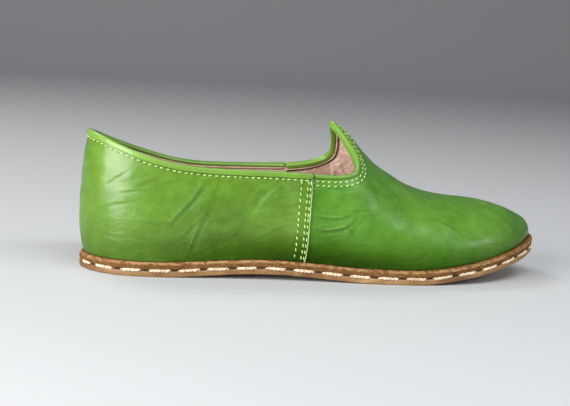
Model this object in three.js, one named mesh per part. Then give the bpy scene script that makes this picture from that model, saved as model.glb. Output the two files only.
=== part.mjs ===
// A flat slip-on slipper in soft leather, for the right foot, with a pointed peak over the instep.
//
// Pieces: a leather outsole, a leather rand above it, an insole, the upper as one hollow wall, and
// two bindings folded over the upper's top edge, one round the quarter and one round the throat.
//
// Millimetres, +Z up, +X from heel to toe, -Y towards the outer side of the foot. The heel's back
// edge is modelled at x = 0, and the group then moves so that the origin is under the middle of
// the shoe, on the floor.

import * as THREE from "three";

// Driving dimensions
const SHOE_LENGTH = 269.5;
const BALL_WIDTH = 96;
const OUTSOLE_THICKNESS = 3.4;
const RAND_THICKNESS = 4.3;
const INSOLE_THICKNESS = 1.8;
const WALL = 2; // upper leather and its lining together
const LEDGE = 2.1; // rand that shows round the foot of the upper
const TOE_LEDGE = 3.8;
const FIT_GAP = 0.3; // clearance between pieces that lie face to face
const TOE_SPRING = 15.8;
const ARCH_LIFT = 3;
const INFLARE = 6; // how far the toe swings towards the inner side
const PEAK_HEIGHT = 75.5; // tip of the peak, above the foot of the upper
const BACK_HEIGHT = 67; // top of the heel, above the foot of the upper
const HEEL_SWELL = 3.6;
const TOE_SWELL = 2.4;
const SIDE_SWELL = 3;
const SEAM_RISE = 0.9; // the quarter's front edge stands on the vamp
const SEAM_OVERLAP = 7.5;
const SEAM_FADE = 3.5; // behind the overlap, where the quarter settles on its lining
const SEAM_CUT = 0.25; // slope of the quarter's cut front edge
const EDGE_BEVEL = 0.9; // outsole and rand are both skived towards the sole stitching
const EDGE_ROUND = 0.8;
const RAND_SLOPE = 1.5; // how far the rand's top edge leans in, over EDGE_ROUND of height
const BINDING_THICKNESS = 0.9;
const QUARTER_BINDING_OUT = 2.2; // how far each binding reaches down the outside and the inside
const QUARTER_BINDING_IN = 0.8;
const THROAT_BINDING_OUT = 1.3;
const THROAT_BINDING_IN = 1.9;
const BINDING_END_GAP = 0.5; // between the ends of the two bindings, at the side seams

// Where the bottom touches the floor and where it leaves it, as shares of the length
const ARCH_FROM = 0.13;
const ARCH_TO = 0.6;
const SPRING_FROM = 0.68;
const SPRING_POWER = 1.5;
const INFLARE_FROM = 0.35;
const HEEL_SWELL_TO = 0.35;
const TOE_SWELL_FROM = 0.85;
const SEAM_AT = 0.44;

// The last, from heel to toe. at: share of the length. outer, inner: half widths as shares of the
// ball width. crown: height of the last's top above the feather line, as a share of the peak
// height (behind the peak the last is open, and the crown only sets how the walls lean in).
// round, full: exponents of the cross section's arch.
const LAST = [
  { at: 0.0, outer: 0.0, inner: 0.0, crown: 1.25, round: 2.2, full: 2.4 },
  { at: 0.02, outer: 0.178, inner: 0.178, crown: 1.25, round: 2.2, full: 2.4 },
  { at: 0.07, outer: 0.298, inner: 0.296, crown: 1.25, round: 2.2, full: 2.4 },
  { at: 0.16, outer: 0.345, inner: 0.335, crown: 1.25, round: 2.2, full: 2.4 },
  { at: 0.28, outer: 0.36, inner: 0.325, crown: 1.24, round: 2.2, full: 2.4 },
  { at: 0.4, outer: 0.388, inner: 0.322, crown: 1.17, round: 2.1, full: 2.4 },
  { at: 0.521, outer: 0.436, inner: 0.356, crown: 1.0, round: 1.65, full: 2.7 },
  { at: 0.545, outer: 0.448, inner: 0.368, crown: 0.97, round: 1.65, full: 2.7 },
  { at: 0.591, outer: 0.47, inner: 0.396, crown: 0.81, round: 1.7, full: 2.5 },
  { at: 0.663, outer: 0.492, inner: 0.44, crown: 0.622, round: 1.9, full: 2.2 },
  { at: 0.762, outer: 0.487, inner: 0.47, crown: 0.473, round: 2.1, full: 2.0 },
  { at: 0.861, outer: 0.418, inner: 0.432, crown: 0.376, round: 2.2, full: 2.0 },
  { at: 0.9525, outer: 0.26, inner: 0.288, crown: 0.243, round: 2.1, full: 2.0 },
  { at: 1.0, outer: 0.0, inner: 0.0, crown: 0.0, round: 2.0, full: 2.0 },
];

// The top edge, from the back of the heel round to the tip of the peak. at: share of the way along
// the foot of the upper. along: share of its length. up: height above the feather line, as a share
// of the back height, or further on of the peak height: toPeak is how much of the latter counts.
// The inner side has its own along and up. pinch: narrowing of the peak.
const TOP_EDGE = [
  { at: 0.0, along: 0.0, up: 0.988, innerAlong: 0.0, innerUp: 0.988, toPeak: 0, pinch: 0 },
  { at: 0.04, along: 0.028, up: 0.948, innerAlong: 0.028, innerUp: 0.946, toPeak: 0, pinch: 0 },
  { at: 0.1, along: 0.083, up: 0.865, innerAlong: 0.083, innerUp: 0.863, toPeak: 0, pinch: 0 },
  { at: 0.16, along: 0.15, up: 0.789, innerAlong: 0.15, innerUp: 0.781, toPeak: 0, pinch: 0 },
  { at: 0.23, along: 0.224, up: 0.741, innerAlong: 0.224, innerUp: 0.702, toPeak: 0, pinch: 0 },
  { at: 0.31, along: 0.308, up: 0.712, innerAlong: 0.308, innerUp: 0.669, toPeak: 0, pinch: 0 },
  { at: 0.38, along: 0.381, up: 0.706, innerAlong: 0.381, innerUp: 0.669, toPeak: 0, pinch: 0 },
  { at: 0.44, along: 0.4495, up: 0.707, innerAlong: 0.4495, innerUp: 0.689, toPeak: 0, pinch: 0 },
  { at: 0.5, along: 0.501, up: 0.693, innerAlong: 0.495, innerUp: 0.702, toPeak: 0.25, pinch: 0 },
  { at: 0.58, along: 0.5405, up: 0.697, innerAlong: 0.531, innerUp: 0.725, toPeak: 0.6, pinch: 0 },
  { at: 0.67, along: 0.5555, up: 0.732, innerAlong: 0.547, innerUp: 0.749, toPeak: 1, pinch: 0.02 },
  { at: 0.77, along: 0.552, up: 0.815, innerAlong: 0.546, innerUp: 0.821, toPeak: 1, pinch: 0.1 },
  { at: 0.88, along: 0.538, up: 0.907, innerAlong: 0.535, innerUp: 0.907, toPeak: 1, pinch: 0.25 },
  { at: 1.0, along: 0.521, up: 1.0, innerAlong: 0.521, innerUp: 1.0, toPeak: 1, pinch: 0.3 },
];

const COLUMNS_PER_SIDE = 38;
const ROWS = 18;
const SOLE_STATIONS = 40;
const STEP = 1e-3; // for slopes measured on the shell

const FOOT_HEIGHT = OUTSOLE_THICKNESS + RAND_THICKNESS + 2 * FIT_GAP;
const UPPER_LENGTH = SHOE_LENGTH - LEDGE - TOE_LEDGE;

const clamp01 = (t) => Math.min(1, Math.max(0, t));
const mix = (a, b, t) => a + (b - a) * t;

// A smooth curve (natural cubic spline) through the points (keys[i], values[i]).
function smoothCurve(keys, values) {
  const n = keys.length;
  const bend = new Array(n).fill(0);
  const shift = new Array(n).fill(0);
  for (let i = 1; i < n - 1; i++) {
    const share = (keys[i] - keys[i - 1]) / (keys[i + 1] - keys[i - 1]);
    const pivot = share * bend[i - 1] + 2;
    const slopeAfter = (values[i + 1] - values[i]) / (keys[i + 1] - keys[i]);
    const slopeBefore = (values[i] - values[i - 1]) / (keys[i] - keys[i - 1]);
    bend[i] = (share - 1) / pivot;
    shift[i] = (6 * (slopeAfter - slopeBefore)) / (keys[i + 1] - keys[i - 1]) - share * shift[i - 1];
    shift[i] /= pivot;
  }
  for (let i = n - 2; i >= 0; i--) bend[i] = bend[i] * bend[i + 1] + shift[i];
  return (key) => {
    let i = 1;
    while (i < n - 1 && keys[i] < key) i++;
    const width = keys[i] - keys[i - 1];
    const a = (keys[i] - key) / width;
    const b = (key - keys[i - 1]) / width;
    const curved = ((a ** 3 - a) * bend[i - 1] + (b ** 3 - b) * bend[i]) * (width ** 2 / 6);
    return a * values[i - 1] + b * values[i] + curved;
  };
}

// Stations turn into angles, so that both ends of the shoe come out round.
const angleOf = (at) => Math.acos(1 - 2 * clamp01(at));
const shareOf = (angle) => (1 - Math.cos(angle)) / 2;

function lastColumn(name) {
  const curve = smoothCurve(LAST.map((row) => angleOf(row.at)), LAST.map((row) => row[name]));
  return (at) => curve(angleOf(at));
}
const outerShare = lastColumn("outer");
const innerShare = lastColumn("inner");
const crownShare = lastColumn("crown");
const roundness = lastColumn("round");
const fullness = lastColumn("full");
const halfShare = (side, at) => Math.max(0, side < 0 ? outerShare(at) : innerShare(at));

function topColumn(name) {
  return smoothCurve(TOP_EDGE.map((row) => row.at), TOP_EDGE.map((row) => row[name]));
}
const outerTop = { along: topColumn("along"), up: topColumn("up") };
const innerTop = { along: topColumn("innerAlong"), up: topColumn("innerUp") };
const topToPeak = topColumn("toPeak");
const topPinch = topColumn("pinch");

// Height of the sole's underside above the floor.
function underside(x) {
  const at = clamp01(x / SHOE_LENGTH);
  if (at > SPRING_FROM) return TOE_SPRING * ((at - SPRING_FROM) / (1 - SPRING_FROM)) ** SPRING_POWER;
  if (at <= ARCH_FROM || at >= ARCH_TO) return 0;
  return ARCH_LIFT * Math.sin((Math.PI * (at - ARCH_FROM)) / (ARCH_TO - ARCH_FROM)) ** 2;
}

const centreline = (at) => INFLARE * clamp01((at - INFLARE_FROM) / (1 - INFLARE_FROM)) ** 2;

// A point of the sole's outline, drawn in by inset. side is -1 outside and +1 inside.
function outline(side, at, inset) {
  const half = halfShare(side, at) * (BALL_WIDTH - 2 * inset);
  return { x: inset + (SHOE_LENGTH - 2 * inset) * at, y: centreline(at) + side * half };
}

const footHeight = (x) => underside(x) + FOOT_HEIGHT;
const footX = (at) => LEDGE + UPPER_LENGTH * at;
const upperAt = (x) => clamp01((x - LEDGE) / UPPER_LENGTH);
const crownHeight = (x) => footHeight(x) + PEAK_HEIGHT * crownShare(upperAt(x));

// The top edge and the ridge of the vamp, both seen from the side.
function topEdge(side, at) {
  const top = side < 0 ? outerTop : innerTop;
  const x = footX(top.along(at));
  return { x, z: footHeight(x) + mix(BACK_HEIGHT, PEAK_HEIGHT, topToPeak(at)) * top.up(at) };
}
const PEAK_X = footX(TOP_EDGE[TOP_EDGE.length - 1].along);

const RIDGE_SAMPLES = 400;
const ridgeTable = (() => {
  const toeAngle = angleOf(1);
  const peakAngle = angleOf(upperAt(PEAK_X));
  const rows = [];
  let length = 0;
  for (let i = 0; i <= RIDGE_SAMPLES; i++) {
    const x = footX(shareOf(mix(toeAngle, peakAngle, i / RIDGE_SAMPLES)));
    const z = crownHeight(x);
    if (i) length += Math.hypot(x - rows[i - 1].x, z - rows[i - 1].z);
    rows.push({ x, z, length });
  }
  return rows;
})();
const RIDGE_LENGTH = ridgeTable[RIDGE_SAMPLES].length;

// The ridge from the toe (0) to the tip of the peak (1), by its length.
function ridge(v) {
  const wanted = clamp01(v) * RIDGE_LENGTH;
  let i = 1;
  while (i < RIDGE_SAMPLES && ridgeTable[i].length < wanted) i++;
  const before = ridgeTable[i - 1];
  const share = (wanted - before.length) / (ridgeTable[i].length - before.length);
  const x = mix(before.x, ridgeTable[i].x, share);
  return { x, z: crownHeight(x) };
}

// A point of the upper's outside, seen from the side: at runs along the foot, v up the wall.
const RIDGE_PULL = 3; // how late the walls begin to follow the ridge, as a power
function sidePoint(side, at, v) {
  const footAt = footX(at);
  const top = topEdge(side, at);
  const peak = topEdge(side, 1);
  const crest = ridge(v);
  const pull = at ** RIDGE_PULL;
  const x = mix(footAt, top.x, v) + pull * (crest.x - mix(footX(1), peak.x, v));
  const z = mix(footHeight(footAt), top.z, v) + pull * (crest.z - mix(footHeight(footX(1)), peak.z, v));
  return { x, z };
}

const SWELL_PEAK = 27 / 4; // brings share * (1 - share)^2 to 1 at its highest
const TOE_BOX_HEIGHT = 20;
const PINCH_POWER = 5;
const HEEL_SWELL_SKEW = 0.75; // below one, the heel is fullest under the middle of its height

// The upper's outside. around runs from the back of the heel (0) along the outer side to the toe (1)
// and back along the inner side (2); v runs from the foot (0) to the top edge (1).
function shell(around, v) {
  const turn = ((around % 2) + 2) % 2;
  const side = turn < 1 ? -1 : 1;
  const at = shareOf(Math.PI * (turn < 1 ? turn : 2 - turn));
  const { x, z } = sidePoint(side, at, v);
  const along = upperAt(x);
  const foot = footHeight(x);
  const rise = clamp01((z - foot) / Math.max(crownHeight(x) - foot, STEP));
  const arch = Math.max(0, 1 - rise ** fullness(along)) ** (1 / roundness(along));
  const widest = BALL_WIDTH - 2 * LEDGE;
  const half = halfShare(side, along) * widest;
  const swell = SIDE_SWELL * SWELL_PEAK * rise * (1 - rise) ** 2 * Math.min(1, (2 * half) / widest);
  const pinch = 1 - topPinch(at) * v ** PINCH_POWER;
  const backRise = clamp01((z - foot) / BACK_HEIGHT);
  const backFade = clamp01(1 - along / HEEL_SWELL_TO) ** 2;
  const toeRise = clamp01((z - foot) / TOE_BOX_HEIGHT);
  const toeFade = clamp01((along - TOE_SWELL_FROM) / (1 - TOE_SWELL_FROM)) ** 2;
  const toeSwell = TOE_SWELL * Math.sin(Math.PI * toeRise) * toeFade;
  const heelSwell = HEEL_SWELL * Math.sin(Math.PI * backRise ** HEEL_SWELL_SKEW) * backFade;
  const y = centreline(along) + side * (half * arch + swell) * pinch;
  return new THREE.Vector3(x + toeSwell - heelSwell, y, z);
}

// The shell's point, with its two directions and its outward normal.
function shellFrame(around, v) {
  const low = Math.max(0, v - STEP);
  const high = Math.min(1, v + STEP);
  const ahead = shell(around + STEP, v).sub(shell(around - STEP, v)).divideScalar(2 * STEP);
  const up = shell(around, high).sub(shell(around, low)).divideScalar(high - low);
  const normal = new THREE.Vector3().crossVectors(ahead, up).normalize();
  return { point: shell(around, v), ahead, up, normal };
}

// Where the quarter lies over the vamp at the side seams, its wall steps out.
const aroundAt = (at) => angleOf(at) / Math.PI;
const SEAM_AROUND = aroundAt(SEAM_AT);
const OVERLAP_AROUND = SEAM_AROUND - aroundAt(SEAM_AT - SEAM_OVERLAP / UPPER_LENGTH);
const FADE_AROUND = aroundAt(SEAM_AT) - aroundAt(SEAM_AT - SEAM_FADE / UPPER_LENGTH);
const CUT_AROUND = aroundAt(SEAM_AT + SEAM_CUT / UPPER_LENGTH) - SEAM_AROUND;

function seamRise(around) {
  const turn = ((around % 2) + 2) % 2;
  const fromHeel = turn < 1 ? turn : 2 - turn;
  const behind = SEAM_AROUND - fromHeel;
  if (behind < 0) return SEAM_RISE * clamp01(1 + behind / CUT_AROUND);
  const settle = clamp01((behind - OVERLAP_AROUND) / FADE_AROUND);
  return SEAM_RISE * (1 - settle * settle * (3 - 2 * settle));
}

// A point set off from the wall: out is measured from its outside, and is below zero inwards.
const LEVEL_AT_FOOT = 0.12; // below this share of the height the wall's thickness turns level
function wallPoint(around, v, out) {
  const { point, normal } = shellFrame(around, v);
  const level = clamp01(v / LEVEL_AT_FOOT);
  const foot = footHeight(point.x);
  normal.z *= level;
  point.addScaledVector(normal.normalize(), out);
  point.z += (1 - level) * (footHeight(point.x) - foot);
  return point;
}

// A point near the top edge: drop is the distance below the edge, square to it, out as above.
function edgePoint(around, drop, out) {
  const top = shellFrame(around, 1);
  const alongEdge = top.ahead.clone().normalize();
  const down = new THREE.Vector3().crossVectors(alongEdge, top.normal).normalize();
  const beyond = drop < 0 ? -drop : 0;
  const reach = down.clone().multiplyScalar(drop > 0 ? drop : 0);
  const aa = top.ahead.dot(top.ahead);
  const au = top.ahead.dot(top.up);
  const uu = top.up.dot(top.up);
  const ra = reach.dot(top.ahead);
  const ru = reach.dot(top.up);
  const det = aa * uu - au * au;
  const stepAround = (ra * uu - ru * au) / det;
  const stepUp = (ru * aa - ra * au) / det;
  const here = shellFrame(around + stepAround, 1 + stepUp);
  return here.point.addScaledVector(here.normal, out).addScaledVector(down, -beyond);
}

// Collects triangles, and gives them as one closed geometry.
class Faces {
  constructor() {
    this.positions = [];
  }
  triangle(a, b, c) {
    for (const p of [a, b, c]) this.positions.push(p.x, p.y, p.z);
  }
  quad(a, b, c, d) {
    this.triangle(a, b, c);
    this.triangle(a, c, d);
  }
  geometry() {
    const made = new THREE.BufferGeometry();
    made.setAttribute("position", new THREE.Float32BufferAttribute(this.positions, 3));
    made.computeVertexNormals();
    return made;
  }
}

// A flat piece between rings that follow one another from its lower face to its upper face. A ring
// runs from the heel along the outer side to the toe and back along the inner side.
function slab(rings) {
  const faces = new Faces();
  const count = 2 * SOLE_STATIONS;
  for (let k = 1; k < rings.length; k++) {
    for (let i = 0; i < count; i++) {
      const j = (i + 1) % count;
      faces.quad(rings[k - 1][i], rings[k - 1][j], rings[k][j], rings[k][i]);
    }
  }
  const across = (ring, facesUp) => {
    const inner = (i) => ring[(count - i) % count];
    const face = (...corners) => {
      if (!facesUp) corners.reverse();
      if (corners.length === 3) faces.triangle(...corners);
      else faces.quad(...corners);
    };
    face(ring[0], ring[1], inner(1));
    for (let i = 1; i < SOLE_STATIONS - 1; i++) face(ring[i], ring[i + 1], inner(i + 1), inner(i));
    face(ring[SOLE_STATIONS - 1], ring[SOLE_STATIONS], inner(SOLE_STATIONS - 1));
  };
  across(rings[0], false);
  across(rings[rings.length - 1], true);
  return faces.geometry();
}

// A ring of the sole's edge, inset from the outline, at a height above the underside.
function soleRing(inset, up) {
  const ring = [];
  for (let i = 0; i < 2 * SOLE_STATIONS; i++) {
    const turn = i / SOLE_STATIONS;
    const { x, y } = outline(turn < 1 ? -1 : 1, shareOf(Math.PI * (turn < 1 ? turn : 2 - turn)), inset);
    ring.push(new THREE.Vector3(x, y, underside(x) + up));
  }
  return ring;
}

function outsole() {
  return slab([
    soleRing(EDGE_ROUND, 0),
    soleRing(EDGE_ROUND * 0.3, EDGE_ROUND * 0.3),
    soleRing(0, EDGE_ROUND),
    soleRing(0, OUTSOLE_THICKNESS - EDGE_BEVEL),
    soleRing(EDGE_BEVEL, OUTSOLE_THICKNESS),
  ]);
}

function rand() {
  const bottom = OUTSOLE_THICKNESS + FIT_GAP;
  const top = bottom + RAND_THICKNESS;
  return slab([
    soleRing(EDGE_BEVEL, bottom),
    soleRing(0, bottom + EDGE_BEVEL),
    soleRing(0, top - 2 * EDGE_ROUND),
    soleRing(RAND_SLOPE * 0.3, top - EDGE_ROUND),
    soleRing(RAND_SLOPE, top),
  ]);
}

// The insole lies on the rand, inside the foot of the upper.
function insole() {
  const ring = (up) => {
    const points = [];
    for (let i = 0; i < 2 * SOLE_STATIONS; i++) {
      const point = wallPoint(i / SOLE_STATIONS, 0, -WALL - 2 * FIT_GAP);
      points.push(point.setZ(point.z + up));
    }
    return points;
  };
  return slab([ring(0), ring(INSOLE_THICKNESS)]);
}

// Columns of the upper, with a few more where the seams step.
const columns = (() => {
  const seamColumns = [
    SEAM_AROUND + CUT_AROUND,
    SEAM_AROUND,
    SEAM_AROUND - OVERLAP_AROUND,
    SEAM_AROUND - OVERLAP_AROUND - FADE_AROUND,
  ];
  const nearest = 0.5 / COLUMNS_PER_SIDE;
  const kept = [];
  for (let i = 0; i <= COLUMNS_PER_SIDE; i++) {
    const around = i / COLUMNS_PER_SIDE;
    if (seamColumns.every((seam) => Math.abs(seam - around) > nearest)) kept.push(around);
  }
  const outer = [...kept, ...seamColumns].sort((a, b) => a - b);
  return [...outer, ...outer.slice(1, -1).reverse().map((around) => 2 - around)];
})();

// The upper: one wall, open at the collar and underneath.
function upper() {
  const wall = columns.map((around) => {
    const outside = [];
    const inside = [];
    for (let j = 0; j <= ROWS; j++) {
      const v = shareOf((Math.PI * j) / ROWS);
      outside.push(wallPoint(around, v, seamRise(around)));
      inside.push(wallPoint(around, v, -WALL));
    }
    return { outside, inside };
  });
  const faces = new Faces();
  wall.forEach((here, i) => {
    const next = wall[(i + 1) % wall.length];
    for (let j = 0; j < ROWS; j++) {
      faces.quad(here.outside[j], next.outside[j], next.outside[j + 1], here.outside[j + 1]);
      faces.quad(here.inside[j], here.inside[j + 1], next.inside[j + 1], next.inside[j]);
    }
    faces.quad(here.outside[ROWS], next.outside[ROWS], next.inside[ROWS], here.inside[ROWS]);
    faces.quad(here.inside[0], next.inside[0], next.outside[0], here.outside[0]);
  });
  return faces.geometry();
}

// A binding folded over the top edge, along the given columns. Its section is drawn as distances
// below the edge and out from the wall: up the outer leaf, round the fold, down the inner leaf and
// back along the wall.
const FOLD_CORNERS = 6;
const LEAF_EDGE = 0.6; // thickness left at a leaf's skived edge, as a share of the strip's

function binding(along, reachOut, reachIn) {
  const section = (around) => {
    const outer = seamRise(around) + FIT_GAP;
    const inner = -WALL - FIT_GAP;
    const thick = BINDING_THICKNESS;
    const corners = [
      [reachOut, outer],
      [reachOut, outer + thick * LEAF_EDGE],
    ];
    for (let i = 0; i <= FOLD_CORNERS; i++) {
      const angle = (Math.PI * i) / FOLD_CORNERS;
      const across = (outer + inner) / 2 + ((outer - inner) / 2 + thick) * Math.cos(angle);
      corners.push([-(FIT_GAP + thick) * Math.sin(angle), across]);
    }
    corners.push([reachIn, inner - thick * LEAF_EDGE], [reachIn, inner], [-FIT_GAP, inner], [-FIT_GAP, outer]);
    return corners;
  };
  const sections = along.map((around) => section(around).map(([drop, out]) => edgePoint(around, drop, out)));
  const flat = section(along[0]).map(([drop, out]) => new THREE.Vector2(out, drop));
  const caps = THREE.ShapeUtils.triangulateShape(flat, []);
  const faces = new Faces();
  const count = flat.length;
  for (let k = 1; k < sections.length; k++) {
    for (let i = 0; i < count; i++) {
      const j = (i + 1) % count;
      faces.quad(sections[k - 1][i], sections[k][i], sections[k][j], sections[k - 1][j]);
    }
  }
  const [first, last] = [sections[0], sections[sections.length - 1]];
  const turned = THREE.ShapeUtils.isClockWise(flat);
  for (const [a, b, c] of caps) {
    faces.triangle(first[a], turned ? first[c] : first[b], turned ? first[b] : first[c]);
    faces.triangle(last[a], turned ? last[b] : last[c], turned ? last[c] : last[b]);
  }
  return faces.geometry();
}

const END_AROUND = aroundAt(SEAM_AT + BINDING_END_GAP / UPPER_LENGTH) - SEAM_AROUND;

function quarterBinding() {
  const outer = columns.filter((around) => around <= SEAM_AROUND);
  const inner = outer.slice(1).reverse().map((around) => -around);
  return binding([...inner, ...outer], QUARTER_BINDING_OUT, QUARTER_BINDING_IN);
}

function throatBinding() {
  const start = SEAM_AROUND + CUT_AROUND + END_AROUND;
  const between = columns.filter((around) => around > start && around < 2 - start);
  return binding([start, ...between, 2 - start], THROAT_BINDING_OUT, THROAT_BINDING_IN);
}

const leather = {
  sole: new THREE.MeshStandardMaterial({ color: 0xb98a58, roughness: 0.75, metalness: 0 }),
  rand: new THREE.MeshStandardMaterial({ color: 0x9a6a3a, roughness: 0.9, metalness: 0 }),
  insole: new THREE.MeshStandardMaterial({ color: 0xa9806a, roughness: 0.7, metalness: 0 }),
  upper: new THREE.MeshStandardMaterial({ color: 0x5f9a2c, roughness: 0.42, metalness: 0 }),
  binding: new THREE.MeshStandardMaterial({ color: 0x6da83a, roughness: 0.45, metalness: 0 }),
};

const pieces = [
  ["outsole", outsole(), leather.sole],
  ["rand", rand(), leather.rand],
  ["insole", insole(), leather.insole],
  ["upper", upper(), leather.upper],
  ["quarter_binding", quarterBinding(), leather.binding],
  ["throat_binding", throatBinding(), leather.binding],
];

const slipper = new THREE.Group();
for (const [name, geometry, material] of pieces) {
  const mesh = new THREE.Mesh(geometry, material);
  mesh.name = name;
  slipper.add(mesh);
}

const room = new THREE.Box3().setFromObject(slipper).getCenter(new THREE.Vector3());
slipper.position.set(-room.x, -room.y, 0);

export default slipper;
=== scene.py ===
# %% [markdown]
# # A flat leather slip-on with a peak over the instep
# The slipper stands empty on its sole: a green upper with a folded binding round its opening, a
# brown lining, and a sole of two leather layers sewn together with thick cream thread.
# The scene is in metres, in the frame of the CAD model: +X is the toe, -Y the outer side. Sizes
# are written times MM, and the few values that stay in millimetres say so.

import math
import random

import bmesh
import bpy
import numpy as np
from mathutils import Matrix, Vector
from mathutils.bvhtree import BVHTree
from mathutils.kdtree import KDTree
from mathutils.noise import noise as noise_at


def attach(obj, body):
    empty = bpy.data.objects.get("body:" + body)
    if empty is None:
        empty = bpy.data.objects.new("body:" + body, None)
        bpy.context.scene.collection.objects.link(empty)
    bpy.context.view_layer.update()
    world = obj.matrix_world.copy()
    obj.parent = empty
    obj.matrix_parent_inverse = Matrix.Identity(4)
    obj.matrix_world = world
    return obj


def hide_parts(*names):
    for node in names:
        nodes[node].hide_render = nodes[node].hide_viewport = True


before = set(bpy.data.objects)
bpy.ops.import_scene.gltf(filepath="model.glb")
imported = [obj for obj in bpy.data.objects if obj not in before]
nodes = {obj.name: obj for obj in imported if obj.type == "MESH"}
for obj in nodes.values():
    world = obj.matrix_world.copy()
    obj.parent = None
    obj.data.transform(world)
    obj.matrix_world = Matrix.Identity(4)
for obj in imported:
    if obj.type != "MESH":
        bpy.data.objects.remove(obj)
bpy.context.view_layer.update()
random.seed(7)
MM = 0.001
LINE_STEP = 0.5 * MM
OUTER = -1
INNER = 1
print("CAD nodes:", ", ".join(sorted(nodes)))

# %% [markdown]
# ## Clean copies of the CAD pieces
# Each piece starts as a copy of its CAD node. The copy is loose triangles, so doubles are merged
# and the triangles joined back into quads. A subdivision surface then rounds it the way worked
# leather is round. Edges that stay sharp on the real shoe get a crease before that.

# %% Copying a piece
DOUBLES = 1e-6
JOIN_ANGLE = math.radians(60)
ANY_SHAPE = math.radians(180)


def clean_copy(name):
    bm = bmesh.new()
    bm.from_mesh(nodes[name].data)
    bmesh.ops.remove_doubles(bm, verts=bm.verts, dist=DOUBLES)
    bmesh.ops.join_triangles(
        bm, faces=bm.faces, angle_face_threshold=JOIN_ANGLE,
        angle_shape_threshold=ANY_SHAPE, topology_influence=2.0)
    bmesh.ops.recalc_face_normals(bm, faces=bm.faces)
    return bm


def to_object(bm, name):
    mesh = bpy.data.meshes.new(name)
    bm.to_mesh(mesh)
    bm.free()
    made = bpy.data.objects.new(name, mesh)
    bpy.context.scene.collection.objects.link(made)
    return made


# %% Subdividing and finishing a piece
def subdivided(bm, name, levels):
    rough = to_object(bm, name + "_rough")
    smooth = rough.modifiers.new("smooth", "SUBSURF")
    smooth.levels = levels
    smooth.render_levels = levels
    bpy.context.view_layer.update()
    done = bpy.data.meshes.new_from_object(
        rough.evaluated_get(bpy.context.evaluated_depsgraph_get()))
    bpy.data.objects.remove(rough)
    done.name = name
    made = bpy.data.objects.new(name, done)
    bpy.context.scene.collection.objects.link(made)
    return made


def dress(piece, slot, *materials, replaces=()):
    for material in materials:
        piece.data.materials.append(material)
    for face in piece.data.polygons:
        face.use_smooth = True
    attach(piece, "root")
    if replaces:
        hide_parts(*replaces)
    print(piece.name, len(piece.data.polygons), "faces")


def crease_edges(bm, angle, amount):
    """Keeps every edge that turns by more than the angle sharp, by that amount."""
    layers = bm.edges.layers.float
    crease = layers.get("crease_edge") or layers.new("crease_edge")
    for edge in bm.edges:
        if edge.calc_face_angle(0.0) > math.radians(angle):
            edge[crease] = amount


# %% [markdown]
# ## Lines and threads
# Rims, seams and rows of stitches all follow lines on the pieces. A line is either read from the
# sharp edges of a copy, or laid on the surface at a distance beside another line. Threads could
# be swept by hand, but a curve with a bevel makes hundreds of tubes at once.

# %% Lines read from a piece
def chains(edges):
    """Connected runs of edges, each as its points in order."""
    left = dict.fromkeys(edges)
    runs = []
    while left:
        first = next(iter(left))
        del left[first]
        run = list(first.verts)
        for end in (0, -1):
            onward = [e for e in run[end].link_edges if e in left]
            while onward:
                del left[onward[0]]
                vert = onward[0].other_vert(run[end])
                if vert is run[0] or vert is run[-1]:
                    break
                run.insert(0 if end == 0 else len(run), vert)
                onward = [e for e in run[end].link_edges if e in left]
        runs.append(np.array([tuple(v.co) for v in run]))
    return runs


def resample(points, step, closed=False, passes=0):
    """The same line with even steps, smoothed by a moving average."""
    if closed:
        points = np.vstack([points, points[:1]])
    lengths = np.linalg.norm(np.diff(points, axis=0), axis=1)
    at = np.concatenate([[0], np.cumsum(lengths)])
    count = max(4, round(at[-1] / step))
    wanted = np.linspace(0, at[-1], count + 1)
    line = np.stack([np.interp(wanted, at, points[:, i]) for i in range(3)], 1)
    if closed:
        line = line[:-1]
    for _ in range(passes):
        before, after = np.roll(line, 1, 0), np.roll(line, -1, 0)
        if not closed:
            before[0], after[0] = line[0], line[0]
            before[-1], after[-1] = line[-1], line[-1]
        line = (before + line + after) / 3
    return line


def anticlockwise(line):
    """A closed line in that order seen from above, from its rearmost point on."""
    x, y = line[:, 0], line[:, 1]
    if (x * np.roll(y, -1) - y * np.roll(x, -1)).sum() < 0:
        line = line[::-1]
    return np.roll(line, -line[:, 0].argmin(), 0)


def distances(line, places):
    """How far each place is from a line given as close points, in metres."""
    tree = KDTree(len(line))
    for i, place in enumerate(line):
        tree.insert(place, i)
    tree.balance()
    return np.array([tree.find(place)[2] for place in places])


# %% Lines laid on a surface
NOT_MITRED = 0.93  # points nearer to the first line than this share of the distance are dropped


def surface_tree(mesh, indices):
    faces = [tuple(f.vertices) for f in mesh.polygons if f.material_index in indices]
    return BVHTree.FromPolygons([v.co for v in mesh.vertices], faces)


def line_beside(line, tree, away, hand=1):
    """A line on the surface, away beside another: to its right if hand is 1, looking along it."""
    ahead = np.gradient(line, axis=0)
    found = []
    for place, direction in zip(line, ahead):
        place, direction = Vector(place), Vector(direction).normalized()
        normal = tree.find_nearest(place)[1]
        aside = direction.cross(normal).normalized() * hand
        first = tree.find_nearest(place + aside * away)
        aside = direction.cross(first[1]).normalized() * hand
        found.append(tree.find_nearest(place + aside * away)[0])
    found = np.array(found)
    found = found[distances(line, found) > NOT_MITRED * away]
    return resample(found, LINE_STEP, False, 6)


# %% Threads and other small shapes that repeat
TUBE_RESOLUTION = 1  # enough for a thread, which is only a few pixels wide


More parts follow.
